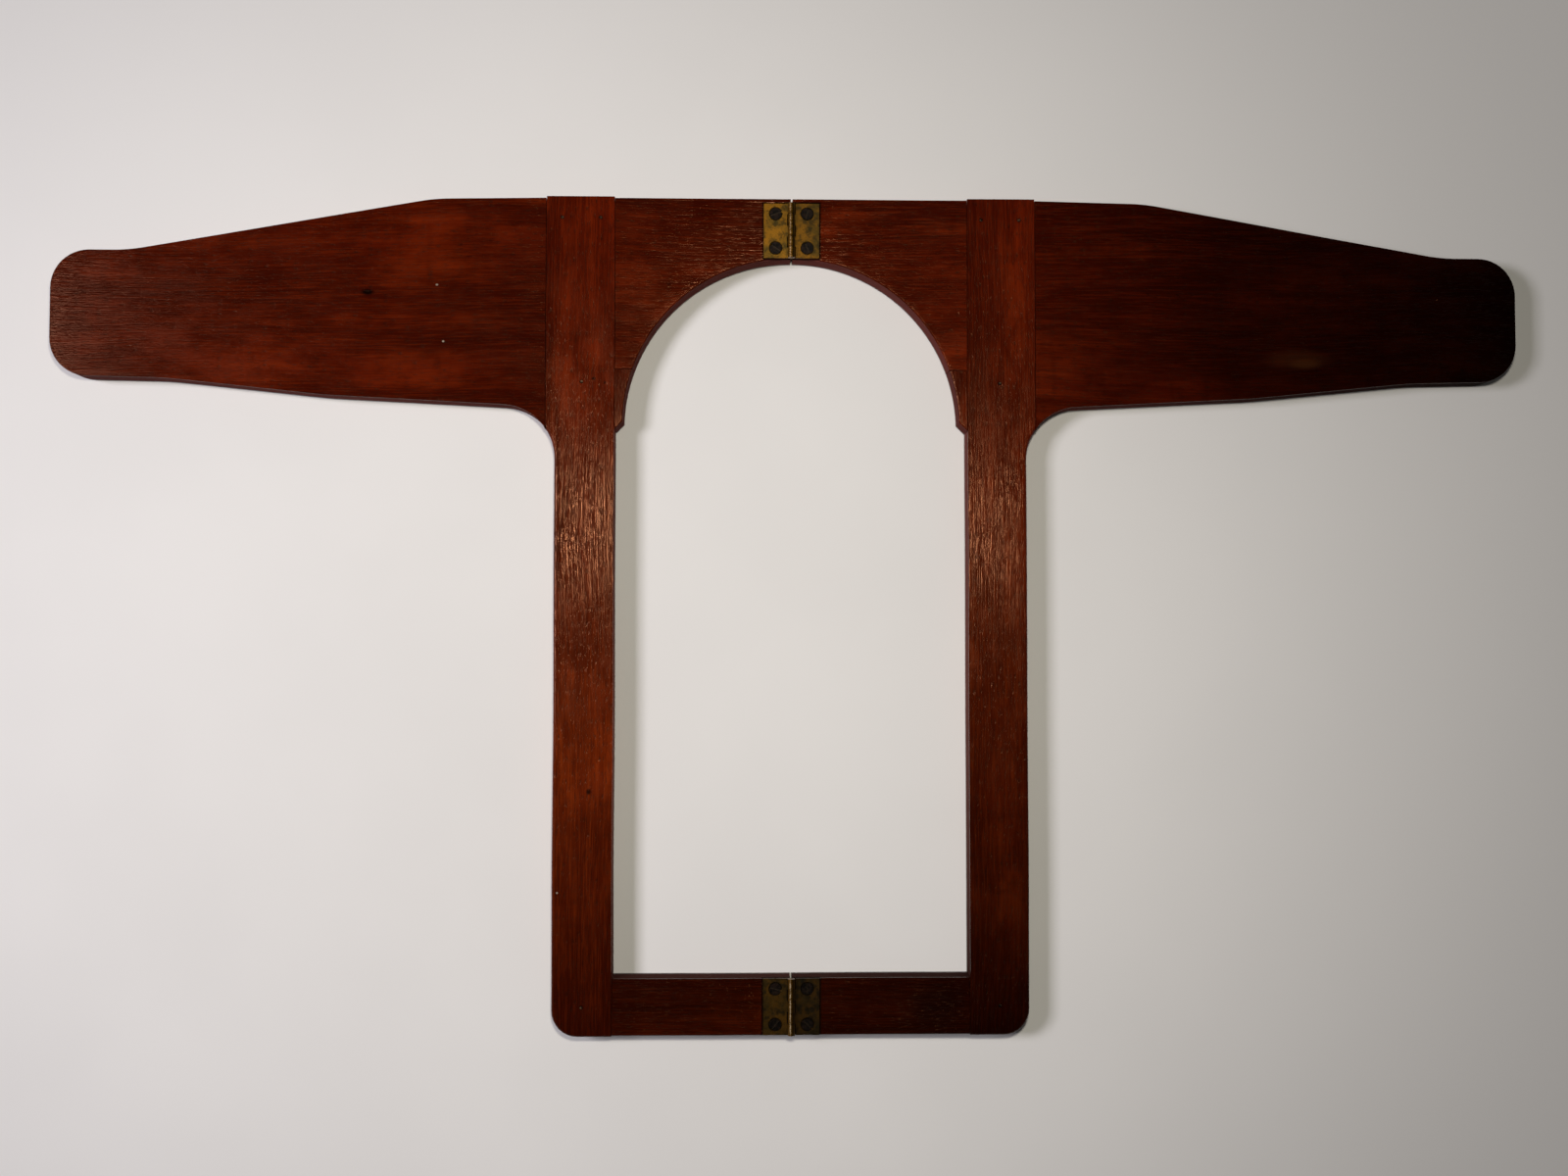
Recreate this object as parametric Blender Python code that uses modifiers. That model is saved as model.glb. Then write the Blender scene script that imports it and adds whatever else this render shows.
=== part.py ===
"""Folding garment form: a flat wooden vest with sleeves, for drying or blocking an infant's knitted top.

Two mirrored halves lie open on their backs and meet on the centre line. Two brass butt hinges join them.
The right half folds over onto the left half, front face to front face.
Metres, Z up. X runs across the sleeves, Y from the hem to the neck, and Z = 0 is the back face.
"""

import math

import bmesh
import bpy
from mathutils import Matrix, Vector

# Whole form
BODY_HEIGHT = 0.3746
BOARD_THICKNESS = 0.0127
HALF_OPENING = 0.0795
CENTRE_GAP = 0.0008
SEAM = 0.0003
LAP_MARGIN = 0.001

# Side posts
POST_WIDTH = 0.0265
POST_FLARE = 0.0040
POST_PROUD_TOP = 0.0007
POST_PROUD_FOOT = 0.0005
FOOT_CORNER_RADIUS = 0.0115
POST_ARRIS = 0.0013

# Sleeve boards
SLEEVE_LENGTH = 0.2200
SLEEVE_DEPTH = 0.0936
SHOULDER_LENGTH = 0.0500
SHOULDER_DROP = 0.0009
CUFF_LENGTH = 0.0340
CUFF_TOP_DROP = 0.0249
CUFF_HEIGHT = 0.0563
CUFF_CORNER_RADIUS = 0.0170
SHOULDER_BEND_RADIUS = 0.0800
UNDERARM_BEND_RADIUS = 0.1500
UNDERARM_RISE = math.radians(2.9)
UNDERARM_BEND_TO_CUFF = 0.0720
CUFF_UNDERSIDE_LENGTH = 0.0500
CUFF_UNDERSIDE_DROP = 0.0011
ARMPIT_RADIUS = 0.0240
SLEEVE_ARRIS = 0.0024

# Yoke boards and the blocks that carry on their arch
YOKE_BOARD_HEIGHT = 0.0772
YOKE_TONGUE = 0.0105
ARCH_BLOCK_FOOT = 0.0039
ARCH_END_RISE = 0.0016
YOKE_ARRIS = 0.0009

# Hinges
HINGE_LENGTH = 0.0248
HINGE_TOP_MARGIN = 0.0020
HINGE_FOOT_MARGIN = 0.0003
LEAF_WIDTH = 0.0125
LEAF_THICKNESS = 0.0009
KNUCKLE_RADIUS = 0.00165
KNUCKLE_COUNT = 5
KNUCKLE_GAP = 0.00025
PIN_RADIUS = 0.00065
PIN_FIT = 0.00025
PIN_DOME = 0.00023
RAIL_MARGIN = 0.0001

# Screws and nails
SCREW_LENGTH = 0.0095
SCREW_HEAD_RADIUS = 0.00275
SCREW_HEAD_DEPTH = 0.0014
SCREW_HEAD_LAND = 0.0002
SCREW_SHANK_RADIUS = 0.0013
SCREW_TIP_LENGTH = 0.0035
SCREW_SLOT_WIDTH = 0.0007
SCREW_SLOT_DEPTH = 0.0006
SCREW_FROM_AXIS = 0.0071
SCREW_PITCH = 0.0156
SCREW_SINK = 0.00005
NAIL_LENGTH = 0.0100
NAIL_RADIUS = 0.00055
NAIL_TIP_LENGTH = 0.0015
NAIL_FROM_TOP = 0.0089
NAIL_FROM_OPENING = 0.0063
NAIL_FROM_EDGE = 0.0070
NAIL_FROM_SPLIT = 0.0040
NAIL_ABOVE_UNDERARM = 0.0105
FASTENER_FIT = 0.0003

# Worked out from the sizes above
POST_TOP = BODY_HEIGHT / 2
POST_FOOT = -BODY_HEIGHT / 2
BOARD_TOP = POST_TOP - POST_PROUD_TOP
RAIL_FOOT = POST_FOOT + POST_PROUD_FOOT
RAIL_TOP = RAIL_FOOT + HINGE_LENGTH + 2 * RAIL_MARGIN
POST_OUTER = HALF_OPENING + POST_WIDTH
LAP_OUTER = POST_OUTER + POST_FLARE
TONGUE_SPLIT = HALF_OPENING + YOKE_TONGUE
SLEEVE_END = LAP_OUTER + SLEEVE_LENGTH
UNDERARM = BOARD_TOP - SLEEVE_DEPTH
ARMPIT_CENTRE = Vector((POST_OUTER + ARMPIT_RADIUS, UNDERARM - ARMPIT_RADIUS))
ARMPIT_SEAM_ANGLE = math.acos((LAP_OUTER - ARMPIT_CENTRE.x) / ARMPIT_RADIUS)
SLEEVE_ROOT = ARMPIT_CENTRE.y + ARMPIT_RADIUS * math.sin(ARMPIT_SEAM_ANGLE)
YOKE_FOOT = BOARD_TOP - YOKE_BOARD_HEIGHT
ARCH_RADIUS = HALF_OPENING - ARCH_BLOCK_FOOT
ARCH_TOP = BOARD_TOP - HINGE_TOP_MARGIN - HINGE_LENGTH - HINGE_FOOT_MARGIN
ARCH_CENTRE = ARCH_TOP - ARCH_RADIUS
LAP_LEVEL = BOARD_THICKNESS / 2
PIN_HEIGHT = BOARD_THICKNESS - LEAF_THICKNESS + KNUCKLE_RADIUS
HINGE_PLACES = {
    "top": BOARD_TOP - HINGE_TOP_MARGIN - HINGE_LENGTH / 2,
    "bottom": (RAIL_FOOT + RAIL_TOP) / 2,
}
SIDES = {"left": -1, "right": 1}
OVERCUT = 0.002
TOUCH = 0.00001
MERGE = 0.000001

COLOURS = {
    "left_mahogany": ((0.064, 0.0075, 0.0016), 0.35, 0.0),
    "right_mahogany": ((0.050, 0.0060, 0.0012), 0.35, 0.0),
    "brass": ((0.40, 0.235, 0.055), 0.35, 1.0),
    "dark_steel": ((0.045, 0.036, 0.030), 0.45, 1.0),
}


def clear_scene():
    for obj in list(bpy.data.objects):
        bpy.data.objects.remove(obj, do_unlink=True)


def make_collections():
    parts = bpy.data.collections.new("folding_garment_form")
    cutters = bpy.data.collections.new("cutters")
    cutters.hide_render = True
    bpy.context.scene.collection.children.link(parts)
    bpy.context.scene.collection.children.link(cutters)
    return parts, cutters


def make_material(name, finish):
    colour, roughness, metallic = COLOURS[finish]
    material = bpy.data.materials.new(name)
    material.use_nodes = True
    shader = material.node_tree.nodes["Principled BSDF"]
    shader.inputs["Base Color"].default_value = (*colour, 1.0)
    shader.inputs["Roughness"].default_value = roughness
    shader.inputs["Metallic"].default_value = metallic
    material.diffuse_color = (*colour, 1.0)
    return material


def arc(centre, radius, start, end, steps):
    """Points along an arc, both ends included. Angles in radians."""
    angles = (start + (end - start) * step / steps for step in range(steps + 1))
    return [Vector((centre[0] + radius * math.cos(a), centre[1] + radius * math.sin(a))) for a in angles]


def rounded_corner(before, corner, after, radius, steps=8):
    """An arc that rounds a corner between two straight stretches of an outline."""
    before, corner, after = Vector(before), Vector(corner), Vector(after)
    back = (before - corner).normalized()
    ahead = (after - corner).normalized()
    half_angle = back.angle(ahead) / 2
    reach = radius / math.tan(half_angle)
    centre = corner + (back + ahead).normalized() * (radius / math.sin(half_angle))
    first = corner + back * reach - centre
    last = corner + ahead * reach - centre
    turn = first.angle_signed(last)
    return [centre + Matrix.Rotation(-turn * step / steps, 2) @ first for step in range(steps + 1)]


def outline_mesh(outline, thickness):
    """A flat closed outline as a solid mesh, half its thickness either side of Z = 0."""
    curve = bpy.data.curves.new("outline", "CURVE")
    curve.dimensions = "2D"
    curve.fill_mode = "BOTH"
    curve.extrude = thickness / 2
    spline = curve.splines.new("POLY")
    spline.points.add(len(outline) - 1)
    for point, place in zip(spline.points, outline):
        point.co = (place[0], place[1], 0.0, 1.0)
    spline.use_cyclic_u = True
    holder = bpy.data.objects.new("outline", curve)
    bpy.context.scene.collection.objects.link(holder)
    graph = bpy.context.evaluated_depsgraph_get()
    mesh = bpy.data.meshes.new_from_object(holder.evaluated_get(graph))
    bpy.data.objects.remove(holder, do_unlink=True)
    shape = bmesh.new()
    shape.from_mesh(mesh)
    bmesh.ops.remove_doubles(shape, verts=shape.verts, dist=MERGE)
    bmesh.ops.dissolve_limit(shape, angle_limit=math.radians(0.05), verts=shape.verts, edges=shape.edges)
    bmesh.ops.recalc_face_normals(shape, faces=shape.faces)
    shape.to_mesh(mesh)
    shape.free()
    return mesh


def add_object(name, mesh, collection, material=None, location=(0, 0, 0)):
    obj = bpy.data.objects.new(name, mesh)
    collection.objects.link(obj)
    obj.location = location
    mesh.name = name
    if material:
        mesh.materials.clear()
        mesh.materials.append(material)
    return obj


def mirrored(outline, side):
    return [Vector((side * point[0], point[1])) for point in outline]


def round_free_edges(obj, radius, on_seam):
    """Rounds the face edges of a board where on_seam says that both ends of the edge lie on no glued seam."""
    weights = obj.data.attributes.new("bevel_weight_edge", "FLOAT", "EDGE")
    points = [vertex.co for vertex in obj.data.vertices]
    for edge in obj.data.edges:
        first, second = (points[index] for index in edge.vertices)
        runs_through = abs(first.z - second.z) > MERGE
        glued = on_seam(abs(first.x), first.y) and on_seam(abs(second.x), second.y)
        weights.data[edge.index].value = 0.0 if runs_through or glued else 1.0
    bevel = obj.modifiers.new("rounded_arris", "BEVEL")
    bevel.limit_method = "WEIGHT"
    bevel.width = radius
    bevel.segments = 3
    bevel.use_clamp_overlap = True


def board(name, outline, side, arris, on_seam, parts, finish):
    mesh = outline_mesh(mirrored(outline, side), BOARD_THICKNESS)
    material = make_material(name, finish)
    obj = add_object(name, mesh, parts, material, (0, 0, BOARD_THICKNESS / 2))
    round_free_edges(obj, arris, on_seam)
    return obj


def cutter_box(name, low, high, cutters):
    shape = bmesh.new()
    bmesh.ops.create_cube(shape, size=1.0)
    size = Vector(high) - Vector(low)
    bmesh.ops.scale(shape, vec=size, verts=shape.verts)
    mesh = bpy.data.meshes.new(name)
    shape.to_mesh(mesh)
    shape.free()
    return finish_cutter(add_object(name, mesh, cutters, location=(Vector(low) + Vector(high)) / 2))


def finish_cutter(obj):
    obj.hide_render = True
    obj.display_type = "WIRE"
    return obj


def boolean(obj, other, operation="DIFFERENCE"):
    modifier = obj.modifiers.new(other.name, "BOOLEAN")
    modifier.operation = operation
    modifier.object = other


def across(side, inner, outer):
    """The low and high X of a stretch given by its distances from the centre line."""
    return sorted((side * inner, side * outer))


def make_post(name, side, parts, finish):
    armpit = arc(ARMPIT_CENTRE, ARMPIT_RADIUS, math.pi, ARMPIT_SEAM_ANGLE, 8)
    foot = (POST_OUTER, POST_FOOT)
    corner = rounded_corner(armpit[0], foot, (HALF_OPENING, POST_FOOT), FOOT_CORNER_RADIUS)
    block_foot = ARCH_CENTRE + ARCH_END_RISE - ARCH_BLOCK_FOOT
    outline = [(HALF_OPENING, POST_FOOT), (HALF_OPENING, RAIL_TOP), (HALF_OPENING, block_foot)]
    outline += [(HALF_OPENING, POST_TOP), (LAP_OUTER, POST_TOP)]
    outline += list(reversed(armpit)) + corner

    def on_seam(x, y):
        inner = abs(x - HALF_OPENING) < TOUCH and (y >= block_foot - TOUCH or y <= RAIL_TOP + TOUCH)
        outer = abs(x - LAP_OUTER) < TOUCH
        return inner or outer

    return board(name, outline, side, POST_ARRIS, on_seam, parts, finish)


def sleeve_outline():
    seam_x = LAP_OUTER
    shoulder = (seam_x + SHOULDER_LENGTH, BOARD_TOP - SHOULDER_DROP)
    cuff_top = (SLEEVE_END - CUFF_LENGTH, BOARD_TOP - CUFF_TOP_DROP)
    end_top = (SLEEVE_END, cuff_top[1])
    end_foot = (SLEEVE_END, cuff_top[1] - CUFF_HEIGHT)
    cuff_foot = (SLEEVE_END - CUFF_UNDERSIDE_LENGTH, end_foot[1] - CUFF_UNDERSIDE_DROP)
    bend_x = cuff_foot[0] - UNDERARM_BEND_TO_CUFF
    armpit = arc(ARMPIT_CENTRE, ARMPIT_RADIUS, ARMPIT_SEAM_ANGLE, math.pi / 2 + UNDERARM_RISE, 12)
    bend = (bend_x, armpit[-1].y + (bend_x - armpit[-1].x) * math.tan(UNDERARM_RISE))
    outline = [(TONGUE_SPLIT + SEAM, BOARD_TOP), (seam_x + SEAM, BOARD_TOP)]
    outline += rounded_corner((seam_x, BOARD_TOP), shoulder, cuff_top, SHOULDER_BEND_RADIUS)
    outline += rounded_corner(shoulder, cuff_top, end_top, SHOULDER_BEND_RADIUS)
    outline += rounded_corner(cuff_top, end_top, end_foot, CUFF_CORNER_RADIUS, 12)
    outline += rounded_corner(end_top, end_foot, cuff_foot, CUFF_CORNER_RADIUS, 12)
    outline += rounded_corner(end_foot, cuff_foot, bend, UNDERARM_BEND_RADIUS)
    outline += rounded_corner(cuff_foot, bend, armpit[-1], UNDERARM_BEND_RADIUS)
    outline += list(reversed(armpit[1:]))
    outline += [(seam_x + SEAM, SLEEVE_ROOT), (TONGUE_SPLIT + SEAM, SLEEVE_ROOT)]
    return outline


def make_sleeve(name, side, parts, finish):
    def on_seam(x, y):
        return x < LAP_OUTER + SEAM + TOUCH

    return board(name, sleeve_outline(), side, SLEEVE_ARRIS, on_seam, parts, finish)


def arch_angle(height):
    return math.asin((height - ARCH_CENTRE) / ARCH_RADIUS)


def make_yoke(name, side, parts, finish):
    end_x = CENTRE_GAP / 2
    crown = math.acos(end_x / ARCH_RADIUS)
    outline = [(end_x, BOARD_TOP), (TONGUE_SPLIT, BOARD_TOP), (TONGUE_SPLIT, YOKE_FOOT)]
    outline += arc((0, ARCH_CENTRE), ARCH_RADIUS, arch_angle(YOKE_FOOT), crown, 28)

    def on_seam(x, y):
        return x > HALF_OPENING - LAP_MARGIN or x < end_x + TOUCH or abs(y - YOKE_FOOT) < TOUCH

    return board(name, outline, side, YOKE_ARRIS, on_seam, parts, finish)


def make_arch_block(name, side, parts, finish):
    top = YOKE_FOOT - SEAM
    inner = HALF_OPENING - SEAM
    arch_end = ARCH_CENTRE + ARCH_END_RISE
    curve = arc((0, ARCH_CENTRE), ARCH_RADIUS, arch_angle(top), arch_angle(arch_end), 12)
    chamfer = inner - curve[-1].x
    outline = [(inner, top), *curve, (inner, arch_end - chamfer)]

    def on_seam(x, y):
        return abs(x - inner) < TOUCH or abs(y - top) < TOUCH

    return board(name, outline, side, YOKE_ARRIS, on_seam, parts, finish)


def make_rail(name, side, parts, finish):
    end_x = CENTRE_GAP / 2
    tongue_end = POST_OUTER
    outer_foot = (tongue_end, RAIL_FOOT)
    corner = rounded_corner((tongue_end, RAIL_TOP), outer_foot, (end_x, RAIL_FOOT), FOOT_CORNER_RADIUS)
    outline = [(end_x, RAIL_FOOT), (end_x, RAIL_TOP), (tongue_end, RAIL_TOP), *corner]

    def on_seam(x, y):
        return x < end_x + TOUCH or (x > HALF_OPENING - LAP_MARGIN and y > RAIL_FOOT + FOOT_CORNER_RADIUS)

    return board(name, outline, side, YOKE_ARRIS, on_seam, parts, finish)


def cut_laps(side, side_name, post, yoke, sleeve, rail, cutters):
    """Half-laps the post in front of the yoke, the sleeve and the rail."""
    below, above = -OVERCUT, BOARD_THICKNESS + OVERCUT
    front, back = LAP_LEVEL - SEAM / 2, LAP_LEVEL + SEAM / 2
    opening, split, edge, flare = HALF_OPENING, TONGUE_SPLIT, POST_OUTER, LAP_OUTER
    over, under = POST_TOP + OVERCUT, POST_FOOT - OVERCUT
    laps = {
        "yoke_bed": (post, opening - OVERCUT, split + SEAM / 2, YOKE_FOOT - SEAM, over, below, back),
        "sleeve_bed": (post, split, flare + OVERCUT, SLEEVE_ROOT - SEAM, over, below, back),
        "rail_bed": (post, opening - OVERCUT, edge + OVERCUT, under, RAIL_TOP + SEAM, below, back),
        "yoke_lap": (yoke, opening - SEAM, split + OVERCUT, YOKE_FOOT - OVERCUT, over, front, above),
        "sleeve_lap": (sleeve, split - OVERCUT, flare + SEAM, SLEEVE_ROOT - OVERCUT, over, front, above),
        "rail_lap": (rail, opening - SEAM, edge + OVERCUT, under, RAIL_TOP + OVERCUT, front, above),
    }
    for name, (obj, inner, outer, foot, head, low, high) in laps.items():
        first, last = across(side, inner, outer)
        boolean(obj, cutter_box(f"{side_name}_{name}", (first, foot, low), (last, head, high), cutters))


def turned_mesh(profile, steps=24):
    """A closed solid turned about Z from (radius, height) points listed down its outer side."""
    shape = bmesh.new()
    points = [shape.verts.new((radius, 0.0, height)) for radius, height in profile]
    edges = [shape.edges.new(pair) for pair in zip(points, points[1:])]
    bmesh.ops.spin(
        shape,
        geom=points + edges,
        cent=(0, 0, 0),
        axis=(0, 0, 1),
        angle=2 * math.pi,
        steps=steps,
        use_merge=True,
    )
    bmesh.ops.remove_doubles(shape, verts=shape.verts, dist=MERGE)
    bmesh.ops.recalc_face_normals(shape, faces=shape.faces)
    mesh = bpy.data.meshes.new("turned")
    shape.to_mesh(mesh)
    shape.free()
    mesh.shade_smooth()
    mesh.set_sharp_from_angle(angle=math.radians(35))
    return mesh


def screw_profile(fit=0.0):
    """A countersunk wood screw, its head face at Z = 0. With a fit it is the hole that the screw sits in."""
    return [
        (0.0, OVERCUT if fit else -SCREW_SINK),
        (SCREW_HEAD_RADIUS + fit, OVERCUT if fit else -SCREW_SINK),
        (SCREW_HEAD_RADIUS + fit, -SCREW_SINK - SCREW_HEAD_LAND),
        (SCREW_SHANK_RADIUS + fit, -SCREW_HEAD_DEPTH - fit / 2),
        (SCREW_SHANK_RADIUS + fit, SCREW_TIP_LENGTH - SCREW_LENGTH),
        (fit, -SCREW_LENGTH),
        (0.0, -SCREW_LENGTH - fit),
    ]


def nail_profile(fit=0.0):
    top = OVERCUT if fit else 0.0
    return [
        (0.0, top),
        (NAIL_RADIUS + fit, top),
        (NAIL_RADIUS + fit, NAIL_TIP_LENGTH - NAIL_LENGTH),
        (0.0, -NAIL_LENGTH - fit),
    ]


def without_repeats(profile):
    return [point for index, point in enumerate(profile) if index == 0 or point != profile[index - 1]]


def turned(name, profile, collection, location, material=None, steps=24):
    return add_object(name, turned_mesh(without_repeats(profile), steps), collection, material, location)


def make_nail(name, x, y, pierced, parts, cutters):
    place = (x, y, BOARD_THICKNESS)
    nail = turned(name, nail_profile(), parts, place, make_material(name, "dark_steel"), 16)
    hole = finish_cutter(turned(f"{name}_hole", nail_profile(FASTENER_FIT), cutters, place, steps=16))
    for obj in pierced:
        boolean(obj, hole)
    return nail


def make_nails(side_name, side, pieces, parts, cutters):
    post, yoke, sleeve, rail = (pieces[kind] for kind in ("post", "yoke", "sleeve", "rail"))
    top = BOARD_TOP - NAIL_FROM_TOP
    places = {
        "yoke_nail": (HALF_OPENING + NAIL_FROM_OPENING, top, yoke),
        "sleeve_top_nail": (LAP_OUTER - NAIL_FROM_EDGE, top, sleeve),
        "sleeve_foot_nail": (TONGUE_SPLIT + NAIL_FROM_SPLIT, UNDERARM + NAIL_ABOVE_UNDERARM, sleeve),
        "rail_nail": ((HALF_OPENING + POST_OUTER) / 2, (RAIL_FOOT + RAIL_TOP) / 2, rail),
    }
    return [
        make_nail(f"{side_name}_{name}", side * x, y, (post, behind), parts, cutters)
        for name, (x, y, behind) in places.items()
    ]


def make_screw(name, x, y, pierced, parts, cutters):
    place = (x, y, BOARD_THICKNESS)
    screw = turned(name, screw_profile(), parts, place, make_material(name, "dark_steel"))
    hole = finish_cutter(turned(f"{name}_hole", screw_profile(FASTENER_FIT), cutters, place))
    reach = SCREW_HEAD_RADIUS + SEAM
    slot_low = (x - reach, y - SCREW_SLOT_WIDTH / 2, BOARD_THICKNESS - SCREW_SLOT_DEPTH)
    slot_high = (x + reach, y + SCREW_SLOT_WIDTH / 2, BOARD_THICKNESS + OVERCUT)
    boolean(screw, cutter_box(f"{name}_slot", slot_low, slot_high, cutters))
    for obj in pierced:
        boolean(obj, hole)
    return screw


def upright_prism(name, outline, low, high, collection):
    """A solid whose outline lies in X and Z, from low to high along Y."""
    mesh = outline_mesh([(x, -z) for x, z in outline], high - low)
    mesh.transform(Matrix.Rotation(math.radians(-90), 4, "X"))
    return add_object(name, mesh, collection, location=(0, (low + high) / 2, 0))


def leaf_outline(side):
    """The end view of a leaf: a barrel rolled round the pin, with the plate running off its lower side."""
    leaf_top = BOARD_THICKNESS - PIN_HEIGHT
    start = math.asin(leaf_top / KNUCKLE_RADIUS)
    barrel = arc((0, 0), KNUCKLE_RADIUS, start, 1.5 * math.pi, 24)
    outline = [*barrel, Vector((LEAF_WIDTH, -KNUCKLE_RADIUS)), Vector((LEAF_WIDTH, leaf_top))]
    return [(side * point.x, point.y + PIN_HEIGHT) for point in outline]


def make_leaf(name, side, centre, other_knuckles, parts, cutters):
    foot = centre - HINGE_LENGTH / 2
    leaf = upright_prism(name, leaf_outline(side), foot, foot + HINGE_LENGTH, parts)
    leaf.data.materials.append(make_material(name, "brass"))
    pitch = HINGE_LENGTH / KNUCKLE_COUNT
    first, last = across(side, -KNUCKLE_RADIUS - OVERCUT, KNUCKLE_RADIUS + SEAM)
    for index in other_knuckles:
        low = foot + index * pitch - (KNUCKLE_GAP / 2 if index else OVERCUT)
        high = foot + (index + 1) * pitch + (KNUCKLE_GAP / 2 if index < KNUCKLE_COUNT - 1 else OVERCUT)
        corners = (first, low, 0.0), (last, high, 2 * PIN_HEIGHT)
        boolean(leaf, cutter_box(f"{name}_notch_{index + 1}", *corners, cutters))
    bore = arc((0, PIN_HEIGHT), PIN_RADIUS + PIN_FIT, 0, 2 * math.pi, 24)[:-1]
    reach = HINGE_LENGTH / 2 + OVERCUT
    boolean(leaf, finish_cutter(upright_prism(f"{name}_bore", bore, centre - reach, centre + reach, cutters)))
    return leaf


def make_pin(name, centre, parts):
    end = HINGE_LENGTH / 2
    profile = [(0.0, end), (PIN_RADIUS - PIN_DOME, end), (PIN_RADIUS, end - PIN_DOME)]
    profile += [(PIN_RADIUS, PIN_DOME - end), (PIN_RADIUS - PIN_DOME, -end), (0.0, -end)]
    pin = turned(name, profile, parts, (0, centre, PIN_HEIGHT), make_material(name, "brass"), 20)
    pin.rotation_euler.x = math.radians(90)
    return pin


def cut_hinge_bed(place, centre, side_name, side, wood, cutters):
    """The shallow bed that one leaf lies in. It runs out at the arch or at both edges of the rail."""
    top = centre + HINGE_LENGTH / 2 + SEAM
    foot = centre - HINGE_LENGTH / 2 - OVERCUT
    if place == "bottom":
        top += OVERCUT
    first, last = across(side, -OVERCUT, LEAF_WIDTH + SEAM)
    low = (first, foot, BOARD_THICKNESS - LEAF_THICKNESS - SEAM)
    high = (last, top, BOARD_THICKNESS + OVERCUT)
    boolean(wood, cutter_box(f"{place}_{side_name}_hinge_bed", low, high, cutters))


def make_hinge(place, centre, halves, parts, cutters):
    wood_kind = "yoke" if place == "top" else "rail"
    for side_name, side in SIDES.items():
        wood = halves[side_name][wood_kind]
        cut_hinge_bed(place, centre, side_name, side, wood, cutters)
        leaf_name = f"{place}_hinge_{side_name}_leaf"
        other_knuckles = range(1 if side_name == "left" else 0, KNUCKLE_COUNT, 2)
        leaf = make_leaf(leaf_name, side, centre, other_knuckles, parts, cutters)
        halves[side_name][leaf_name] = leaf
        for row, sign in (("upper", 1), ("lower", -1)):
            name = f"{place}_hinge_{side_name}_{row}_screw"
            y = centre + sign * SCREW_PITCH / 2
            screw = make_screw(name, side * SCREW_FROM_AXIS, y, (leaf, wood), parts, cutters)
            halves[side_name][name] = screw
    pin_name = f"{place}_hinge_pin"
    halves["left"][pin_name] = make_pin(pin_name, centre, parts)


def make_half(side_name, side, parts, cutters):
    finish = f"{side_name}_mahogany"
    pieces = {
        "post": make_post(f"{side_name}_side_post", side, parts, finish),
        "yoke": make_yoke(f"{side_name}_yoke_board", side, parts, finish),
        "sleeve": make_sleeve(f"{side_name}_sleeve_board", side, parts, finish),
        "rail": make_rail(f"{side_name}_bottom_rail", side, parts, finish),
        "block": make_arch_block(f"{side_name}_arch_block", side, parts, finish),
    }
    cut_laps(side, side_name, pieces["post"], pieces["yoke"], pieces["sleeve"], pieces["rail"], cutters)
    for nail in make_nails(side_name, side, pieces, parts, cutters):
        pieces[nail.name] = nail
    return pieces


def hang_on_pivot(pieces, parts):
    """Gives the right half an empty on the hinge pins' axis, about which it folds."""
    pivot = bpy.data.objects.new("right_half_pivot", None)
    pivot.empty_display_size = 0.02
    pivot.location = (0, 0, PIN_HEIGHT)
    parts.objects.link(pivot)
    for obj in pieces:
        obj.parent = pivot
        obj.location = obj.location - pivot.location


def build():
    clear_scene()
    parts, cutters = make_collections()
    halves = {name: make_half(name, side, parts, cutters) for name, side in SIDES.items()}
    for place, centre in HINGE_PLACES.items():
        make_hinge(place, centre, halves, parts, cutters)
    hang_on_pivot(halves["right"].values(), parts)


build()
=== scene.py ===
"""Looks of the folding garment form: mahogany boards under old varnish, aged brass butt hinges, browned screws.

It is laid out as an add-on and run as a script. The boards, leaves, screws and nails are worked up from the frame's
own nodes. Metres, Z up, X across the sleeves, Y towards the neck edge, and the back faces lie at Z = 0.
"""

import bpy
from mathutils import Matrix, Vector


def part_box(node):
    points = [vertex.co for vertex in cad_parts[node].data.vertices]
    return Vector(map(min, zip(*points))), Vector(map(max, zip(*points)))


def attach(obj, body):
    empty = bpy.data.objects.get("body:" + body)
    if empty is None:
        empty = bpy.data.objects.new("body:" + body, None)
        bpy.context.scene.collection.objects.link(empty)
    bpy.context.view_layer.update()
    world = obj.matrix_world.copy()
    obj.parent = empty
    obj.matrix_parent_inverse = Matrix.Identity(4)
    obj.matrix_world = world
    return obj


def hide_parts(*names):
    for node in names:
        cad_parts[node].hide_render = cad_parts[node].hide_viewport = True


bl_info = {
    "name": "Folding garment form",
    "version": (1, 0, 0),
    "blender": (4, 5, 0),
    "location": "View3D > Sidebar > Garment Form",
    "description": "Builds the finished look of a folding wooden garment form",
    "category": "Object",
}

import collections
import itertools
import math

import bmesh
import bpy
from bpy.props import FloatProperty, FloatVectorProperty, PointerProperty
from mathutils import Matrix, Vector, noise

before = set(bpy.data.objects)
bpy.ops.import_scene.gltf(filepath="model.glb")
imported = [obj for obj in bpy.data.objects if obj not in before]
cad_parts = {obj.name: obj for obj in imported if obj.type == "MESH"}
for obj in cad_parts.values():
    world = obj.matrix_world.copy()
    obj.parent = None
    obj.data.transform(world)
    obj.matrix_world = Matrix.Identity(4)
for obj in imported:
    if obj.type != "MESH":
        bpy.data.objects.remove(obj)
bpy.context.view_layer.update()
BODIES = {"left": "left_half", "right": "right_half"}
SIDES = ("left", "right")
BACK, FRONT = (corner.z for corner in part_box("left_side_post"))
GRAIN_ACROSS = 0.0
GRAIN_UPRIGHT = math.pi / 2
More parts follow.
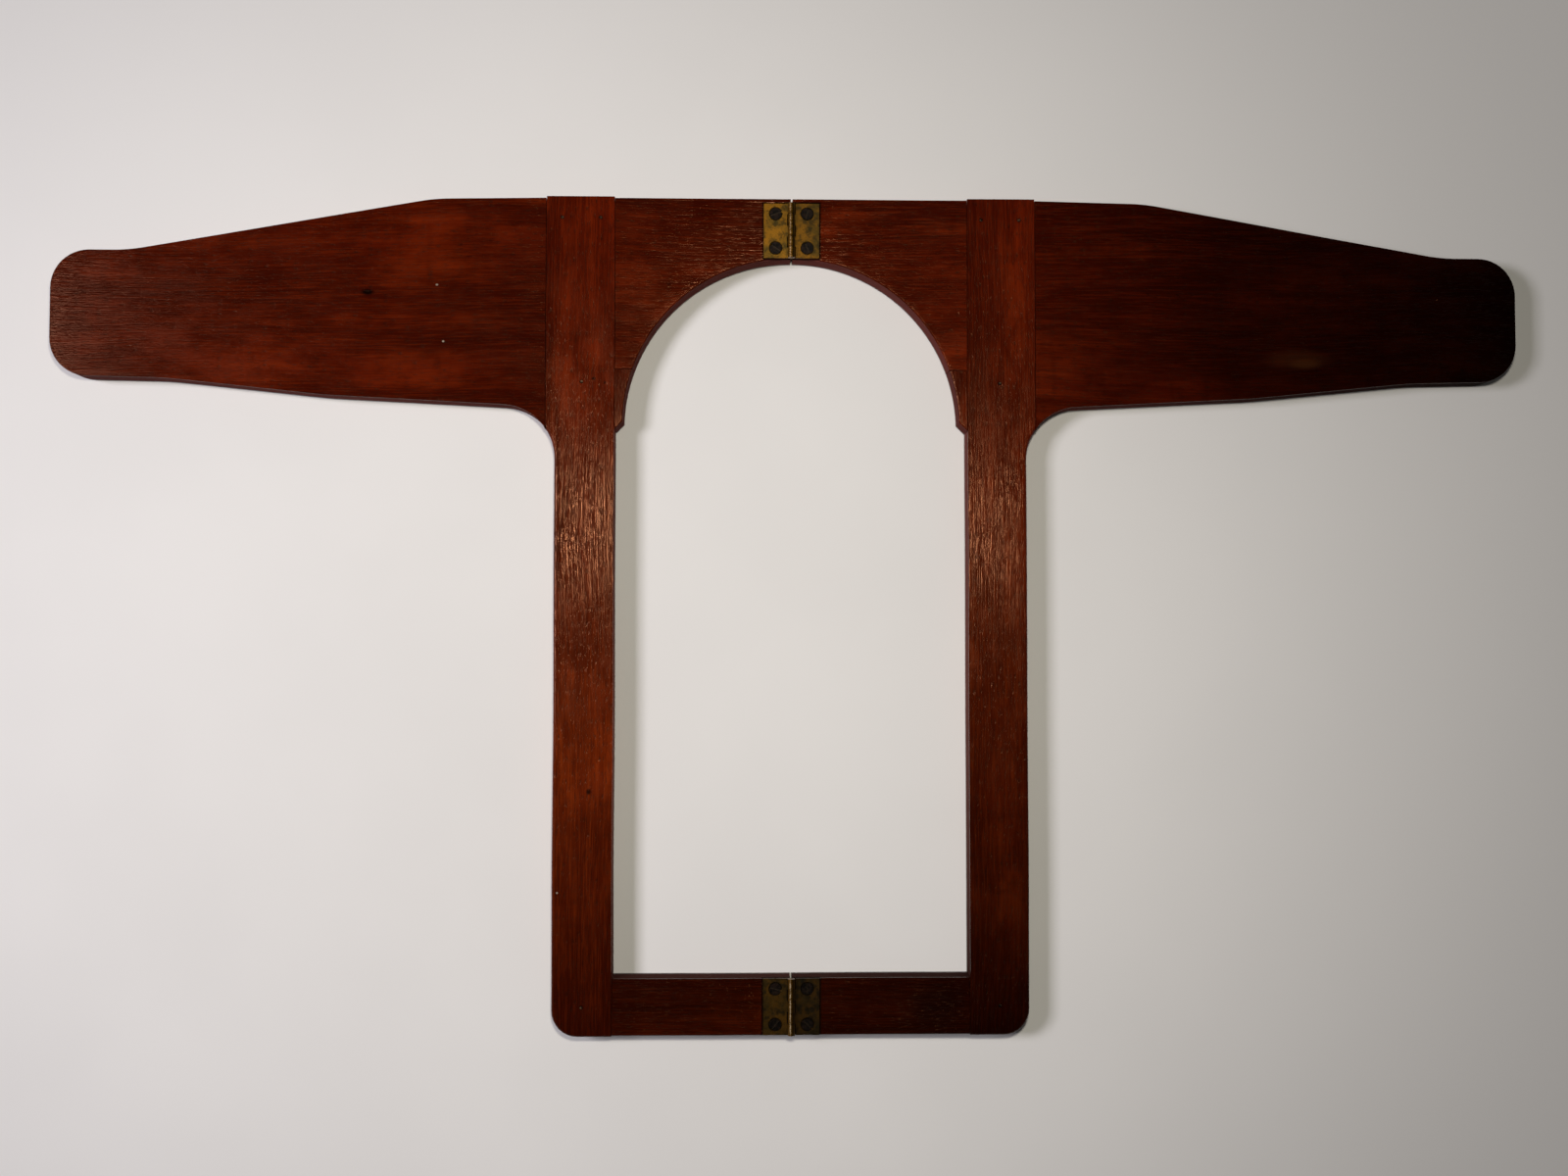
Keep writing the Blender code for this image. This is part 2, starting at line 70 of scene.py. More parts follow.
# Depths below a board's front face, and heights above its back, between which face and rim give way to each other.
FRONT_ARRIS = (0.0004, 0.0011)
BACK_ARRIS = (0.0016, 0.0030)
BED_DEPTH = (0.0018, 0.0030)
# The barrel's reach each side of the joint's line, and the depths of a slot's floor below a screw's top.
BARREL_REACH = 0.0013
SLOT_DEPTH = (0.0003, 0.0011)
TOUCH = 0.0001
Tone = collections.namedtuple("Tone", "place shade brown", defaults=(0.0,))
BROWN_SHARES = (0.0, 0.42, 0.30)
DARK_SPOT = (0.004, 0.001, 0.0006)
PALE_SPECK = (0.40, 0.33, 0.25)
WORN_PATCH = (0.085, 0.028, 0.008)
# Colour of the painted highlight along a hinge barrel.
GLINT_BRASS = (0.40, 0.30, 0.18)
SCREW_RUST = (0.018, 0.008, 0.004)
NAIL_TAN = (0.16, 0.080, 0.040)
SLOT_GLINT_STEEL = (0.035, 0.024, 0.015)
VARNISH_TINT = (1.0, 0.42, 0.22)
VARNISH_GLOSS = {GRAIN_UPRIGHT: 0.24, GRAIN_ACROSS: 0.16}
# Brass tone of each leaf, partly painted shade: the bottom hinge and the right leaves are darkened where less of the
# lamp's light reaches and reflects.
HINGE_TONES_AND_SHADE = {"top": {"left": 0.45, "right": 0.31}, "bottom": {"left": 0.16, "right": 0.09}}
# Strength of the painted highlight on each hinge's barrel.
BARREL_GLINT_STRENGTH = {"top": 0.5, "bottom": 1.0}
BRASS_SEEDS = {"left": 0.37, "right": 0.81, "pin": 0.59}
SLOT_TURNS = (20, 145, 75, 110, 165, 50, 95, 135)
SHEET_MIDDLE = (-0.13, -0.06, 0.0)
SHEET_GLOW_MIDDLE = (-0.5, 0.1, 0.0)
SHEET_HALF = 9.0
WINDOW = {"location": (-0.95, 0.12, 0.98), "target": (-0.1, 0.0, 0.0), "size": 0.34, "colour": (0.90, 0.89, 0.97)}
LAMP = {"location": (0.0, 0.095, 0.7126), "target": (0.0, 0.03, 0.0), "size": 0.05, "colour": (1.0, 0.97, 0.84)}
BACKDROP_COLOUR = (1.0, 0.985, 0.955, 1.0)
CAMERA_PLACE = (-0.0215, -0.0165)
CAMERA_LEAN = {"Y": -0.0260, "X": 0.0393, "Z": 0.0005}


class GarmentFormShape(bpy.types.PropertyGroup):
    wave_height: FloatProperty(
        name="Wave height",
        description="How far hand planing left the board faces out of true",
        default=0.00007,
        unit="LENGTH",
    )
    wave_length: FloatProperty(
        name="Wave length",
        description="Distance over which a board's face rises and falls",
        default=0.045,
        unit="LENGTH",
    )
    outline_drift: FloatProperty(
        name="Outline drift",
        description="How far the sawn and filed outline wanders",
        default=0.00022,
        unit="LENGTH",
    )
    face_cell: FloatProperty(
        name="Face cell",
        description="Spacing of the cuts that let a board's face follow its waves",
        default=0.0075,
        unit="LENGTH",
    )
    leaf_arris: FloatProperty(
        name="Leaf arris",
        description="Rounding of the worn edges of a brass leaf",
        default=0.00012,
        unit="LENGTH",
    )


class GarmentFormFinish(bpy.types.PropertyGroup):
    mahogany_dark: FloatVectorProperty(
        name="Mahogany, dark streak",
        description="Colour of the darkest streaks of the grain",
        subtype="COLOR",
        default=(0.028, 0.0020, 0.0003),
    )
    mahogany_mid: FloatVectorProperty(
        name="Mahogany, body",
        description="Colour of most of the wood",
        subtype="COLOR",
        default=(0.070, 0.0050, 0.0006),
    )
    mahogany_light: FloatVectorProperty(
        name="Mahogany, light streak",
        description="Colour of the lightest streaks of the grain",
        subtype="COLOR",
        default=(0.140, 0.0130, 0.0014),
    )
    # Partly the sawn wood under thin varnish, partly a painted reflection: its purplish-pink tint stands in for the
    # pale sheet seen in the rims at grazing.
    mahogany_rim_and_reflection: FloatVectorProperty(
        name="Mahogany, rims",
        description="Colour of the wood and varnish on the boards' narrow sides",
        subtype="COLOR",
        default=(0.110, 0.0300, 0.0260),
    )
    varnish_roughness: FloatProperty(
        name="Varnish roughness",
        description="Roughness of the varnish where it is whole",
        default=0.165,
        subtype="FACTOR",
    )
    brass_bright: FloatVectorProperty(
        name="Brass, bright",
        description="Colour of brass where hands rub it",
        subtype="COLOR",
        default=(0.50, 0.21, 0.009),
    )
    brass_dull: FloatVectorProperty(
        name="Brass, dull",
        description="Colour of brass under old lacquer and tarnish",
        subtype="COLOR",
        default=(0.22, 0.118, 0.010),
    )
    # Used for the dirt and verdigris in patches and specks, and also for the painted shade on each barrel's far
    # side.
    brass_stain_and_shade: FloatVectorProperty(
        name="Brass, stain",
        description="Colour of the dirt and verdigris in its corners",
        subtype="COLOR",
        default=(0.050, 0.036, 0.005),
    )
    steel: FloatVectorProperty(
        name="Browned steel",
        description="Colour of the screws and nails",
        subtype="COLOR",
        default=(0.005, 0.0038, 0.003),
    )


class GarmentFormStage(bpy.types.PropertyGroup):
    paper: FloatVectorProperty(
        name="Paper",
        description="Colour of the sheet that the form lies on",
        subtype="COLOR",
        default=(0.80, 0.77, 0.745),
    )
    key_power: FloatProperty(name="Key power", description="Window light from the left", default=11.9, unit="POWER")
    lamp_power: FloatProperty(name="Lamp power", description="Small lamp overhead", default=2.35, unit="POWER")
    sky_strength: FloatProperty(name="Sky strength", description="Brightness of the backdrop", default=0.36)
    camera_height: FloatProperty(
        name="Camera height",
        description="Height of the lens above the sheet",
        default=0.7126,
        unit="LENGTH",
    )
    lens: FloatProperty(name="Lens", description="Focal length in millimetres", default=36.0)


class Graph:
    """Adds shader nodes to a material and links them."""

    def __init__(self, name):
        self.material = bpy.data.materials.new(name)
        self.material.use_nodes = True
        self.tree = self.material.node_tree
        self.shader = self.tree.nodes["Principled BSDF"]

    def add(self, kind, settings=None, **inputs):
        node = self.tree.nodes.new(f"ShaderNode{kind}")
        for key, value in (settings or {}).items():
            setattr(node, key, value)
        for key, value in inputs.items():
            self.put(node, key, value)
        return node

    def put(self, node, key, value):
        name = key.replace("_", " ")
        socket = next(s for s in node.inputs if s.enabled and s.name.lower() == name.lower())
        if isinstance(value, bpy.types.NodeSocket):
            self.tree.links.new(value, socket)
        elif socket.type == "RGBA" and len(value) == 3:
            socket.default_value = (*value, 1.0)
        else:
            socket.default_value = value

    def math(self, operation, first, second=0.0):
        node = self.tree.nodes.new("ShaderNodeMath")
        node.operation = operation
        for socket, value in zip(node.inputs, (first, second)):
            if isinstance(value, bpy.types.NodeSocket):
                self.tree.links.new(value, socket)
            else:
                socket.default_value = value
        return node.outputs[0]

    def vector_math(self, operation, first, second):
        node = self.add("VectorMath", {"operation": operation})
        self.tree.links.new(first, node.inputs[0])
        if isinstance(second, bpy.types.NodeSocket):
            self.tree.links.new(second, node.inputs[1])
        else:
            node.inputs[1].default_value = second
        return node.outputs[0]

    def distance(self, vector, centre):
        return self.vector_math("DISTANCE", vector, centre).node.outputs["Value"]

    def noise(self, vector, along, across, detail=2.0, roughness=0.5):
        """Noise whose features repeat about along times in a metre of the grain, and across times over it."""
        stretched = self.vector_math("MULTIPLY", vector, (along, across, across))
        return self.add("TexNoise", Vector=stretched, Scale=1.0, Detail=detail, Roughness=roughness).outputs["Fac"]

    def ramp(self, value, low, high, start=0.0, end=1.0):
        node = self.add("MapRange", {"interpolation_type": "SMOOTHSTEP"})
        names = ("Value", "From Min", "From Max", "To Min", "To Max")
        for name, item in zip(names, (value, low, high, start, end)):
            self.put(node, name, item)
        return node.outputs[0]

    def mix(self, amount, first, second, blend="MIX"):
        node = self.add("Mix", {"data_type": "RGBA", "blend_type": blend})
        sockets = [socket for socket in node.inputs if socket.enabled]
        for socket, value in zip(sockets, (amount, first, second)):
            if isinstance(value, bpy.types.NodeSocket):
                self.tree.links.new(value, socket)
            elif socket.type == "RGBA":
                socket.default_value = (*value[:3], 1.0)
            else:
                socket.default_value = value
        return next(socket for socket in node.outputs if socket.enabled)

    def spot(self, vector, centre, width, length, deep=1 / 150, soft=0.5):
        """A soft oval, 1 inside and 0 outside, for a knot, a hole or a speck."""
        shifted = self.vector_math("SUBTRACT", vector, centre)
        scaled = self.vector_math("MULTIPLY", shifted, (2 / width, 2 / length, 2 / deep))
        return self.ramp(self.distance(scaled, (0.0, 0.0, 0.0)), 1.0 - soft, 1.0 + soft, 1.0, 0.0)

    def frame(self, vector, low, high, width=0.0011):
        """Nearly 1 on and just round a box seen from the front, fading over width outside it."""
        centre, half = (low + high) / 2, (high - low) / 2
        place = self.add("SeparateXYZ", Vector=vector)
        outside = [
            self.math("SUBTRACT", self.math("ABSOLUTE", self.math("SUBTRACT", place.outputs[i], centre[i])), half[i])
            for i in (0, 1)
        ]
        return self.ramp(self.math("MAXIMUM", *outside), 0.35 * width, width, 0.92, 0.0)


def mahogany(name, grain, offset, tones_and_shade, marks=(), leaf_bed_border=()):
    """Varnished mahogany. The grain runs along X, or along Y where grain is a quarter turn.

    tones_and_shade holds the shade of the wood at places along the grain, browner and less red where brown is over
    0.
    Its shades are partly the boards' own tone and partly painted light. Painted shade darkens the right sleeve and
    the right rail towards the right, where the light falls off. A painted highlight lightens the left post below its
    middle, where the varnish's glare spreads.
    """
    finish = bpy.context.scene.garment_form_finish
    graph = Graph(name)
    place = graph.add("TexCoord").outputs["Object"]
    mapping = graph.add("Mapping", Vector=place, Location=offset, Rotation=(0.0, 0.0, grain)).outputs[0]
    drift = graph.noise(mapping, along=6.0, across=14.0, detail=1.0)
    drift = graph.math("MULTIPLY", graph.math("SUBTRACT", drift, 0.5), 0.012)
    wood = graph.vector_math("ADD", mapping, graph.add("CombineXYZ", X=0.0, Y=drift, Z=0.0).outputs[0])

    bands = graph.noise(wood, along=3.0, across=30.0, detail=3.0, roughness=0.55)
    streaks = graph.noise(wood, along=9.0, across=160.0, detail=5.0, roughness=0.62)
    blotches = graph.noise(wood, along=15.0, across=30.0, detail=3.0, roughness=0.6)
    mottle = graph.noise(wood, along=38.0, across=75.0, detail=4.0, roughness=0.65)
    figure = graph.noise(wood, along=130.0, across=40.0)
    fibres = graph.noise(wood, along=65.0, across=1700.0, roughness=0.6)
    pores = graph.ramp(graph.noise(wood, along=300.0, across=2600.0, detail=0.0), 0.60, 0.74)

    dark, mid, light = finish.mahogany_dark, finish.mahogany_mid, finish.mahogany_light
    colour = graph.mix(graph.ramp(bands, 0.38, 0.60), dark, mid)
    colour = graph.mix(graph.ramp(streaks, 0.47, 0.74, 0.0, 0.65), colour, light)
    colour = graph.mix(graph.ramp(streaks, 0.28, 0.45, 0.4, 0.0), colour, dark)
    colour = graph.mix(graph.ramp(blotches, 0.36, 0.60, 0.6, 0.0), colour, dark)
    colour = graph.mix(graph.ramp(blotches, 0.56, 0.70, 0.0, 0.35), colour, light)
    colour = graph.mix(graph.ramp(mottle, 0.36, 0.60, 0.65, 0.0), colour, dark)
    colour = graph.mix(graph.ramp(figure, 0.32, 0.48, 0.35, 0.0), colour, dark)
    colour = graph.mix(graph.ramp(fibres, 0.45, 0.70, 0.0, 0.3), colour, light)
    colour = graph.mix(graph.math("MULTIPLY", pores, 0.6), colour, [0.3 * c for c in dark])
    depth = graph.add("SeparateXYZ", Vector=place).outputs["Z"]
    above_back = graph.ramp(depth, BACK + BACK_ARRIS[0], BACK + BACK_ARRIS[1])
    below_front = graph.ramp(depth, FRONT - FRONT_ARRIS[1], FRONT - FRONT_ARRIS[0], 1.0, 0.0)
    rim = graph.math("MULTIPLY", above_back, below_front)
    # Painted reflection, in part: the matt rims take a purplish-pink tint for the pale sheet they reflect at
    # grazing.
    colour = graph.mix(graph.math("MULTIPLY", rim, 0.85), colour, finish.mahogany_rim_and_reflection)
    along = graph.add("SeparateXYZ", Vector=place).outputs["Y" if grain else "X"]
    # Multiplies the wood by its tones: partly the boards' own tone, partly painted shade and painted highlight.
    start, end = tones_and_shade[0].place, tones_and_shade[-1].place
    shade = graph.add("ValToRGB", Fac=graph.add("MapRange", Value=along, From_Min=start, From_Max=end).outputs[0])
    while len(shade.color_ramp.elements) < len(tones_and_shade):
        shade.color_ramp.elements.new(0.5)
    for stop, tone_and_shade in zip(shade.color_ramp.elements, tones_and_shade):
        stop.position = (tone_and_shade.place - start) / (end - start)
        stop.color = (*(tone_and_shade.shade * (1.0 + tone_and_shade.brown * share) for share in BROWN_SHARES), 1.0)
    colour = graph.mix(1.0, colour, shade.outputs["Color"], "MULTIPLY")
    # A darker band round each hinge leaf's bed, on the front face and the top of the bed's walls.
    front = graph.ramp(depth, FRONT - BED_DEPTH[1], FRONT - BED_DEPTH[0])
    for low, high in leaf_bed_border:
        colour = graph.mix(graph.math("MULTIPLY", graph.frame(place, low, high), front), colour, DARK_SPOT)
    for centre, width, length, tint, strength in marks:
        spot = graph.spot(place, centre, width, length)
        colour = graph.mix(graph.math("MULTIPLY", spot, strength), colour, tint)
    graph.put(graph.shader, "Base Color", colour)

    whole = finish.varnish_roughness
    rough = graph.ramp(mottle, 0.3, 0.7, whole - 0.03, whole + 0.07)
    rough = graph.math("ADD", rough, graph.math("MULTIPLY", pores, 0.12))
    graph.put(graph.shader, "Roughness", graph.math("ADD", rough, graph.math("MULTIPLY", rim, 0.8)))
    height = graph.math("SUBTRACT", fibres, graph.math("MULTIPLY", pores, 0.5))
    height = graph.math("MULTIPLY", height, graph.ramp(depth, BACK + 0.001, BACK + BACK_ARRIS[1], 0.3, 1.0))
    graph.put(graph.shader, "Normal", graph.add("Bump", Strength=1.0, Distance=0.00012, Height=height).outputs[0])
    on_front = graph.ramp(depth, FRONT - 0.0012, FRONT - 0.0003)
    on_back = graph.ramp(depth, BACK + 0.0003, BACK + 0.0012, 1.0, 0.0)
    gloss = VARNISH_GLOSS[grain]
    shine = graph.ramp(graph.math("ADD", on_front, on_back), 0.0, 1.0, 0.3 * gloss, gloss)
    graph.put(graph.shader, "Specular IOR Level", shine)
    graph.put(graph.shader, "Specular Tint", VARNISH_TINT)
    return graph.material


def brass(name, tone_and_shade, seed, glint_strength=1.0):
    """Aged brass: old lacquer over orange and olive metal, dirt in patches and specks, scratches, and a barrel
    painted lighter, with a painted highlight along its near side and painted shade on its far side.
    """
    finish = bpy.context.scene.garment_form_finish
    graph = Graph(name)
    place = graph.add("TexCoord").outputs["Object"]
    mapping = graph.add("Mapping", Vector=place, Location=(seed, seed * 0.7, 0.0)).outputs[0]
    clouds = graph.noise(mapping, along=130.0, across=130.0, detail=4.0, roughness=0.6)
    patches = graph.noise(mapping, along=300.0, across=300.0, detail=4.0, roughness=0.65)
    specks = graph.noise(mapping, along=1300.0, across=1300.0, detail=3.0, roughness=0.6)
    scratches = graph.noise(mapping, along=2600.0, across=160.0)
    metals = (finish.brass_bright, finish.brass_dull, finish.brass_stain_and_shade)
    bright, dull, stain_and_shade = ([tone_and_shade * c for c in metal] for metal in metals)
    colour = graph.mix(graph.ramp(clouds, 0.36, 0.62), dull, bright)
    colour = graph.mix(graph.ramp(patches, 0.36, 0.54, 0.8, 0.0), colour, stain_and_shade)
    colour = graph.mix(graph.ramp(specks, 0.56, 0.66, 0.0, 0.5), colour, stain_and_shade)
    barrel = graph.add("Attribute", {"attribute_name": "barrel"}).outputs["Fac"]
    # The barrel is painted lighter, untouched by the leaf's tone: partly brass rubbed bright, partly a painted
    # highlight.
    colour = graph.mix(graph.math("MULTIPLY", barrel, 0.5), colour, [0.6 * c for c in finish.brass_bright])
    across = graph.add("SeparateXYZ", Vector=place).outputs["X"]
    # Painted shade: the barrel's far side, away from the light, is darkened with the stain colour.
    painted_shade_side = graph.math("MULTIPLY", barrel, graph.ramp(across, 0.0001, 0.0006, 0.0, 0.8))
    colour = graph.mix(painted_shade_side, colour, stain_and_shade)
    # Painted highlight: a pale line along the barrel's near side stands in for the key light's glint, made less
    # metallic so it shows.
    off_line = graph.math("ABSOLUTE", graph.math("ADD", across, 0.0005))
    painted_glint = graph.math("MULTIPLY", barrel, graph.ramp(off_line, 0.0001, 0.0004, 1.0, 0.0))
    painted_glint = graph.math("MULTIPLY", painted_glint, graph.ramp(specks, 0.40, 0.56, 0.35 * glint_strength, glint_strength))
    colour = graph.mix(painted_glint, colour, GLINT_BRASS)
    graph.put(graph.shader, "Base Color", colour)
    graph.put(graph.shader, "Metallic", graph.math("SUBTRACT", 0.85, graph.math("MULTIPLY", painted_glint, 0.6)))
    rough = graph.ramp(specks, 0.3, 0.7, 0.36, 0.52)
    graph.put(graph.shader, "Roughness", graph.math("SUBTRACT", rough, graph.math("MULTIPLY", barrel, 0.2)))
    height = graph.math("ADD", graph.math("MULTIPLY", specks, 0.6), graph.math("MULTIPLY", scratches, 0.4))
    graph.put(graph.shader, "Normal", graph.add("Bump", Strength=0.5, Distance=0.00006, Height=height).outputs[0])
    return graph.material


def browned_steel(name, rust_tint):
    finish = bpy.context.scene.garment_form_finish
    graph = Graph(name)
    place = graph.add("TexCoord").outputs["Object"]
    rust = graph.noise(place, along=900.0, across=900.0, detail=4.0, roughness=0.6)
    colour = graph.mix(graph.ramp(rust, 0.42, 0.66, 0.0, 0.8), finish.steel, rust_tint)
    # Painted highlight: the slot floors are lighter, standing in for the glint of the slots.
    slot = graph.add("Attribute", {"attribute_name": "slot"}).outputs["Fac"]
    colour = graph.mix(graph.math("MULTIPLY", slot, 0.6), colour, SLOT_GLINT_STEEL)
    graph.put(graph.shader, "Base Color", colour)
    graph.put(graph.shader, "Metallic", 0.6)
    graph.put(graph.shader, "Specular IOR Level", 0.15)
    graph.put(graph.shader, "Roughness", graph.ramp(rust, 0.3, 0.7, 0.28, 0.5))
    graph.put(graph.shader, "Normal", graph.add("Bump", Strength=0.5, Distance=0.00005, Height=rust).outputs[0])
    return graph.material


def merged_copy(node):
    """A node's mesh with its loose triangles merged into flat faces."""
    shape = bmesh.new()
    shape.from_mesh(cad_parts[node].data)
    bmesh.ops.remove_doubles(shape, verts=shape.verts, dist=0.000002)
    bmesh.ops.dissolve_limit(shape, angle_limit=math.radians(0.4), verts=shape.verts, edges=shape.edges)
    return shape


def finish_piece(shape, name, node, side, material, sharp=32.0):
    for face in shape.faces:
        face.smooth = True
    for edge in shape.edges:
        edge.smooth = edge.is_manifold and edge.calc_face_angle() < math.radians(sharp)
    mesh = bpy.data.meshes.new(name)
    shape.to_mesh(mesh)
    shape.free()
    mesh.materials.append(material)
    piece = bpy.data.objects.new(name, mesh)
    bpy.context.scene.collection.objects.link(piece)
    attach(piece, BODIES[side])
    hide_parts(node)
    return piece


def weigh_normals(piece):
    """Keeps wide faces flat where a smooth arris meets them."""
    weighted = piece.modifiers.new("flat_faces", "WEIGHTED_NORMAL")
    weighted.keep_sharp = True
    weighted.weight = 60


def slice_faces(shape, cell):
    """Cuts a board square across, so that its faces can follow a gentle wave."""
    low = Vector(min(v.co[i] for v in shape.verts) for i in range(3))
    high = Vector(max(v.co[i] for v in shape.verts) for i in range(3))
    for axis in (0, 1):
        count = int((high[axis] - low[axis]) / cell)
        normal = Vector((axis == 0, axis == 1, 0))
        for step in range(1, count):
            place = low + (high - low) * (step / count)
            geometry = shape.verts[:] + shape.edges[:] + shape.faces[:]
            bmesh.ops.bisect_plane(shape, geom=geometry, dist=0.00002, plane_co=place, plane_no=normal)


def wander(place):
    """How far hand work moved a point of the wood. One field for every board, so that the seams still meet."""
    shape = bpy.context.scene.garment_form_shape
    flat = Vector((place.x, place.y, 0.0))
    slow = flat / (1.6 * shape.wave_length)
    quick = flat / shape.wave_length
    drift_x = noise.noise(slow + Vector((7.3, 1.1, 0.0))) * shape.outline_drift
    drift_y = noise.noise(slow + Vector((2.9, 8.4, 3.0))) * shape.outline_drift
    rise = noise.noise(quick + Vector((4.2, 5.6, 9.0))) * shape.wave_height
    share = min(max((place.z - BACK) / (FRONT - BACK), 0.0), 1.0)
    return Vector((drift_x, drift_y, rise * share))


def make_board(node, grain, offset, tones_and_shade, marks=(), leaf_bed_border=()):
    side = node.split("_")[0]
    shape = merged_copy(node)
    slice_faces(shape, bpy.context.scene.garment_form_shape.face_cell)
    for vert in shape.verts:
        vert.co += wander(vert.co)
    material = mahogany(f"{node}_mahogany", grain, offset, tones_and_shade, marks, leaf_bed_border)
    piece = finish_piece(shape, f"{node}_finished", node, side, material)
    weigh_normals(piece)


class GARMENTFORM_OT_side_posts(bpy.types.Operator):
    """Finish the two side posts, whose grain runs from hem to neck"""

    bl_idname = "garment_form.side_posts"
    bl_label = "Side Posts"

    def execute(self, context):
        left_marks = [
            ((-0.0899, -0.0795, FRONT), 0.0020, 0.0024, DARK_SPOT, 0.9),
            ((-0.0887, 0.1048, FRONT), 0.0016, 0.0013, DARK_SPOT, 0.9),
            ((-0.0836, 0.1030, FRONT), 0.0010, 0.0014, DARK_SPOT, 0.8),
            ((-0.1036, -0.1240, FRONT), 0.0008, 0.0008, PALE_SPECK, 0.7),
        ]
        # Painted highlight: the left post is lighter and browner below its middle, where the varnish's glare
        # spreads.
        left_tones = (
            Tone(-0.187, 0.62, 0.3),
            Tone(-0.14, 1.2, 0.8),
            Tone(-0.06, 2.0, 1.0),
            Tone(0.03, 1.1, 0.2),
            Tone(0.187, 1.4),
        )
        right_tones = (Tone(-0.187, 0.16), Tone(-0.13, 0.55, 1.0), Tone(-0.04, 1.15, 0.8), Tone(0.187, 1.35))
        make_board("left_side_post", GRAIN_UPRIGHT, (0.31, 0.12, 0.0), left_tones, left_marks)
        make_board("right_side_post", GRAIN_UPRIGHT, (0.77, 0.55, 0.3), right_tones)
        return {"FINISHED"}


class GARMENTFORM_OT_yoke_boards(bpy.types.Operator):
    """Finish the two yoke boards, each with half of the neck arch"""

    bl_idname = "garment_form.yoke_boards"
    bl_label = "Yoke Boards"

    def execute(self, context):
        bed = [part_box("top_hinge_left_leaf"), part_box("top_hinge_right_leaf")]
        left_tones = (Tone(-0.11, 0.9), Tone(0.0, 1.0))
        right_tones = (Tone(0.0, 1.2), Tone(0.11, 1.1))
        make_board("left_yoke_board", GRAIN_ACROSS, (0.11, 0.42, 0.0), left_tones, leaf_bed_border=bed)
        make_board("right_yoke_board", GRAIN_ACROSS, (0.93, 0.18, 0.2), right_tones, leaf_bed_border=bed)
        return {"FINISHED"}


class GARMENTFORM_OT_sleeve_boards(bpy.types.Operator):
    """Finish the two sleeve boards"""

    bl_idname = "garment_form.sleeve_boards"
    bl_label = "Sleeve Boards"

    def execute(self, context):
        left_marks = [
            ((-0.1896, 0.1432, FRONT), 0.0052, 0.0026, DARK_SPOT, 1.0),
            ((-0.1558, 0.1212, FRONT), 0.0009, 0.0008, PALE_SPECK, 0.8),
            ((-0.1588, 0.1467, FRONT), 0.0011, 0.0008, PALE_SPECK, 0.6),
        ]
        right_marks = [
            ((0.2300, 0.1150, FRONT), 0.0260, 0.0080, WORN_PATCH, 0.13),
            ((0.2330, 0.1130, FRONT), 0.0120, 0.0040, WORN_PATCH, 0.16),
        ]
        left_tones = (Tone(-0.33, 0.9), Tone(-0.2, 1.15), Tone(-0.106, 0.92))
        # Painted shade: the right sleeve darkens to near black at its cuff, where the light falls off.
        right_tones = (Tone(0.106, 0.95), Tone(0.2, 0.30), Tone(0.33, 0.03))
        make_board("left_sleeve_board", GRAIN_ACROSS, (0.52, 0.07, 0.0), left_tones, left_marks)
        make_board("right_sleeve_board", GRAIN_ACROSS, (0.23, 0.61, 0.5), right_tones, right_marks)
        return {"FINISHED"}


class GARMENTFORM_OT_bottom_rails(bpy.types.Operator):
    """Finish the two halves of the bottom rail"""

    bl_idname = "garment_form.bottom_rails"
    bl_label = "Bottom Rails"

    def execute(self, context):
        bed = [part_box("bottom_hinge_left_leaf"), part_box("bottom_hinge_right_leaf")]
        left_tones = (Tone(-0.106, 0.52, 0.6), Tone(0.0, 0.47, 0.6))
        # Painted shade: the right rail is darker than the left and darkens towards its end, where the light falls
        # off.
        right_tones = (Tone(0.0, 0.37, 0.6), Tone(0.106, 0.24, 0.6))
        make_board("left_bottom_rail", GRAIN_ACROSS, (0.66, 0.35, 0.1), left_tones, leaf_bed_border=bed)
        right_marks = [((0.0640, -0.1740, FRONT), 0.0220, 0.0180, DARK_SPOT, 0.55)]
        make_board("right_bottom_rail", GRAIN_ACROSS, (0.39, 0.83, 0.4), right_tones, right_marks, bed)
        return {"FINISHED"}


class GARMENTFORM_OT_arch_blocks(bpy.types.Operator):
    """Finish the small blocks that end the neck arch"""

    bl_idname = "garment_form.arch_blocks"
    bl_label = "Arch Blocks"

    def execute(self, context):
        tones_and_shade = (Tone(0.08, 0.9), Tone(0.12, 0.9))
        make_board("left_arch_block", GRAIN_UPRIGHT, (0.45, 0.29, 0.6), tones_and_shade)
        make_board("right_arch_block", GRAIN_UPRIGHT, (0.14, 0.71, 0.8), tones_and_shade)
        return {"FINISHED"}


